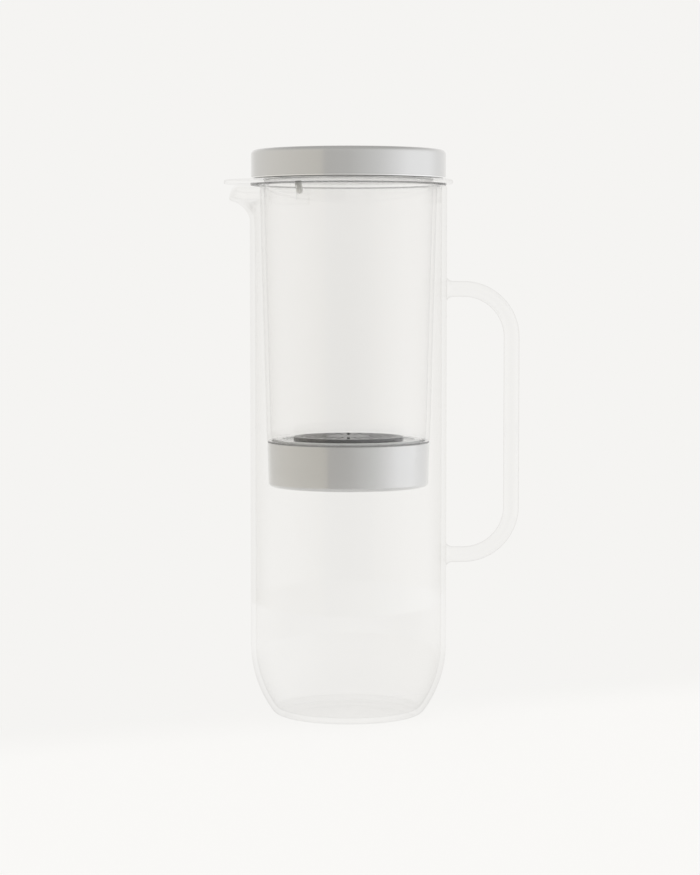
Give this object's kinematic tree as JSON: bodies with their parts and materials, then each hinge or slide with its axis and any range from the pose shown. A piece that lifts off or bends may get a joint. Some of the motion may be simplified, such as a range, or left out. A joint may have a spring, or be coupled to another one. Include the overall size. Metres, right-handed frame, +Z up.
{
  "type": "water filter carafe",
  "caption": "Clear glass carafe with a spout, a rod handle and a satin silver lid, holding a lift-out reservoir tube with a twist-off filter cup and its cartridge.",
  "frame": {"origin": "centre of the base on the table, on the axis of the glass body", "axes": "+Z up along the body's axis, -X towards the spout, +X towards the handle"},
  "size_m": [0.1502, 0.106, 0.2869],
  "materials": {
    "glass": "clear, fire polished",
    "clear_plastic": "clear moulded copolyester",
    "satin_metal": "satin stainless steel",
    "grey_plastic": "fine moulded grain",
    "white_plastic": "smooth moulded",
    "charcoal_plastic": "smooth moulded",
    "grey_silicone": "matt silicone",
    "pale_silicone": "matt silicone",
    "fleece": "non-woven fleece",
    "carbon": "packed carbon granules",
    "resin": "packed ion-exchange beads"
  },
  "bodies": {
    "carafe": {"carafe_glass": "glass", "handle": "glass"},
    "reservoir": {"reservoir_tube": "clear_plastic", "flange_seal": "grey_silicone", "cup_gasket": "grey_silicone"},
    "lid": {"lid_shell": "satin_metal", "lid_insert": "grey_plastic", "lid_gasket": "pale_silicone"},
    "filter_cup": {"cup_sleeve": "satin_metal", "cup_liner": "white_plastic"},
    "cartridge": {"cartridge_shell": "white_plastic", "cartridge_cover": "white_plastic", "cartridge_grille": "charcoal_plastic", "cartridge_seal": "grey_silicone", "top_fleece": "fleece", "carbon_bed": "carbon", "middle_fleece": "fleece", "resin_bed": "resin", "bottom_fleece": "fleece"}
  },
  "joints": [
    {"name": "reservoir_lift", "type": "slide", "parent": "carafe", "child": "reservoir", "axis": [0, 0, 1], "range_m": [0, 0.175]},
    {"name": "lid_lift", "type": "slide", "parent": "reservoir", "child": "lid", "axis": [0, 0, 1], "range_m": [0, 0.08]},
    {"name": "cartridge_lift", "type": "slide", "parent": "reservoir", "child": "cartridge", "axis": [0, 0, 1], "range_m": [0, 0.115]},
    {"name": "cup_twist", "type": "hinge", "parent": "reservoir", "child": "filter_cup", "pos_m": [0, 0, 0.13], "axis": [0, 0, 1], "range_deg": [0, 30]}
  ]
}
